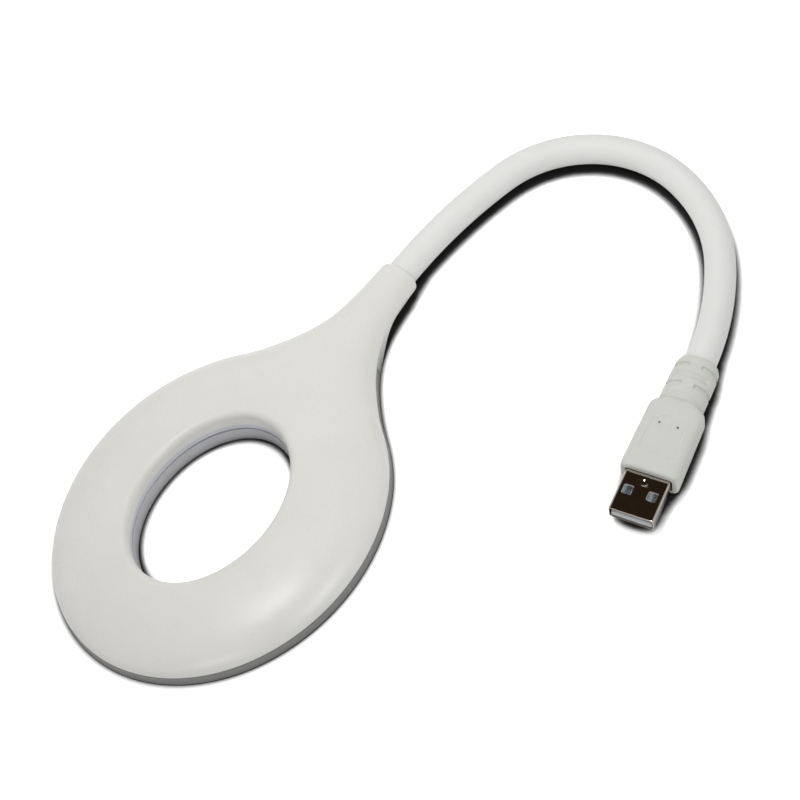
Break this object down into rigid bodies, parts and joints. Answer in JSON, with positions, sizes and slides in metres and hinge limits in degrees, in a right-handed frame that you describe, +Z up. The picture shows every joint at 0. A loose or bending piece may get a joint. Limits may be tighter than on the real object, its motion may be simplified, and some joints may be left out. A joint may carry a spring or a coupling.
{
  "type": "usb gooseneck ring lamp",
  "caption": "Desk lamp that plugs into a USB port: oval ring-shaped light head on a bendable gooseneck, with a USB-A plug at the other end.",
  "frame": {"origin": "centre of the footprint of the lamp lying flat, on the surface it lies on", "axes": "+Z up; +Y along the longest extent, from the plug mouth towards the loop of the neck; +X from the head towards the plug"},
  "size_m": [0.1508, 0.1948, 0.0115],
  "materials": {
    "cover_white": "satin white ABS moulding, finely frosted",
    "diffuser_milk": "milky translucent diffuser plastic, cooler than the cover",
    "board_white": "white solder mask over aluminium-backed circuit board",
    "led_yellow": "yellow phosphor over a white LED package",
    "resistor_black": "black chip resistor with tinned ends",
    "jacket_white": "satin white silicone jacket",
    "core_steel": "bendable wound steel core",
    "ferrule_brass": "crimped brass ferrule",
    "wire_red": "red PVC insulation",
    "wire_black": "black PVC insulation",
    "overmould_white": "matt white soft PVC overmould",
    "premould_white": "white hard inner mould",
    "shell_nickel": "bright nickel plated steel",
    "insulator_grey": "light grey glass-filled plastic",
    "contact_gold": "gold plated copper alloy"
  },
  "bodies": {
    "plug": {"neck_core_00": "core_steel", "neck_jacket_00": "jacket_white", "plug_contact_1": "contact_gold", "plug_contact_2": "contact_gold", "plug_contact_3": "contact_gold", "plug_contact_4": "contact_gold", "plug_insulator": "insulator_grey", "plug_overmold": "overmould_white", "plug_premould": "premould_white", "plug_shell": "shell_nickel", "plug_wire_black": "wire_black", "plug_wire_red": "wire_red"},
    "neck_link_01": {"neck_core_01": "core_steel", "neck_jacket_01": "jacket_white"},
    "neck_link_02": {"neck_core_02": "core_steel", "neck_jacket_02": "jacket_white"},
    "neck_link_03": {"neck_core_03": "core_steel", "neck_jacket_03": "jacket_white"},
    "neck_link_04": {"neck_core_04": "core_steel", "neck_jacket_04": "jacket_white"},
    "neck_link_05": {"neck_core_05": "core_steel", "neck_jacket_05": "jacket_white"},
    "neck_link_06": {"neck_core_06": "core_steel", "neck_jacket_06": "jacket_white"},
    "neck_link_07": {"neck_core_07": "core_steel", "neck_jacket_07": "jacket_white"},
    "neck_link_08": {"neck_core_08": "core_steel", "neck_jacket_08": "jacket_white"},
    "neck_link_09": {"neck_core_09": "core_steel", "neck_jacket_09": "jacket_white"},
    "neck_link_10": {"neck_core_10": "core_steel", "neck_jacket_10": "jacket_white"},
    "neck_link_11": {"neck_core_11": "core_steel", "neck_jacket_11": "jacket_white"},
    "head": {"head_diffuser": "diffuser_milk", "head_top_cover": "cover_white", "head_wire_black": "wire_black", "head_wire_red": "wire_red", "led_01": "led_yellow", "led_02": "led_yellow", "led_03": "led_yellow", "led_04": "led_yellow", "led_05": "led_yellow", "led_06": "led_yellow", "led_07": "led_yellow", "led_08": "led_yellow", "led_09": "led_yellow", "led_10": "led_yellow", "led_11": "led_yellow", "led_12": "led_yellow", "led_board": "board_white", "neck_core_12": "core_steel", "neck_ferrule": "ferrule_brass", "neck_jacket_12": "jacket_white", "resistor_1": "resistor_black", "resistor_2": "resistor_black"}
  },
  "joints": [
    {"name": "neck_bend_01", "type": "hinge", "parent": "plug", "child": "neck_link_01", "pos_m": [0.06757, 0.03693, 0.005], "axis": [0, 0, 1], "range_deg": [-30, 14]},
    {"name": "neck_bend_02", "type": "hinge", "parent": "neck_link_01", "child": "neck_link_02", "pos_m": [0.0659, 0.05096, 0.005], "axis": [0, 0, 1], "range_deg": [-30, 14]},
    {"name": "neck_bend_03", "type": "hinge", "parent": "neck_link_02", "child": "neck_link_03", "pos_m": [0.06192, 0.06453, 0.005], "axis": [0, 0, 1], "range_deg": [-30, 14]},
    {"name": "neck_bend_04", "type": "hinge", "parent": "neck_link_03", "child": "neck_link_04", "pos_m": [0.05507, 0.07685, 0.005], "axis": [0, 0, 1], "range_deg": [-30, 10]},
    {"name": "neck_bend_05", "type": "hinge", "parent": "neck_link_04", "child": "neck_link_05", "pos_m": [0.04482, 0.08653, 0.005], "axis": [0, 0, 1], "range_deg": [-30, 9]},
    {"name": "neck_bend_06", "type": "hinge", "parent": "neck_link_05", "child": "neck_link_06", "pos_m": [0.03202, 0.09235, 0.005], "axis": [0, 0, 1], "range_deg": [-30, 4]},
    {"name": "neck_lift_07", "type": "hinge", "parent": "neck_link_06", "child": "neck_link_07", "pos_m": [0.01797, 0.09259, 0.005], "axis": [-0.1904, 0.9817, 0], "range_deg": [0, 20]},
    {"name": "neck_bend_08", "type": "hinge", "parent": "neck_link_07", "child": "neck_link_08", "pos_m": [0.00503, 0.08712, 0.005], "axis": [0, 0, 1], "range_deg": [-30, 4]},
    {"name": "neck_lift_09", "type": "hinge", "parent": "neck_link_08", "child": "neck_link_09", "pos_m": [-0.00457, 0.07687, 0.005], "axis": [-0.8555, 0.5179, 0], "range_deg": [0, 20]},
    {"name": "neck_bend_10", "type": "hinge", "parent": "neck_link_09", "child": "neck_link_10", "pos_m": [-0.01057, 0.06406, 0.005], "axis": [0, 0, 1], "range_deg": [-30, 14]},
    {"name": "neck_lift_11", "type": "hinge", "parent": "neck_link_10", "child": "neck_link_11", "pos_m": [-0.01528, 0.05072, 0.005], "axis": [-0.9572, 0.2896, 0], "range_deg": [0, 20]},
    {"name": "neck_bend_12", "type": "hinge", "parent": "neck_link_11", "child": "head", "pos_m": [-0.01876, 0.03701, 0.005], "axis": [0, 0, 1], "range_deg": [-30, 14]}
  ]
}
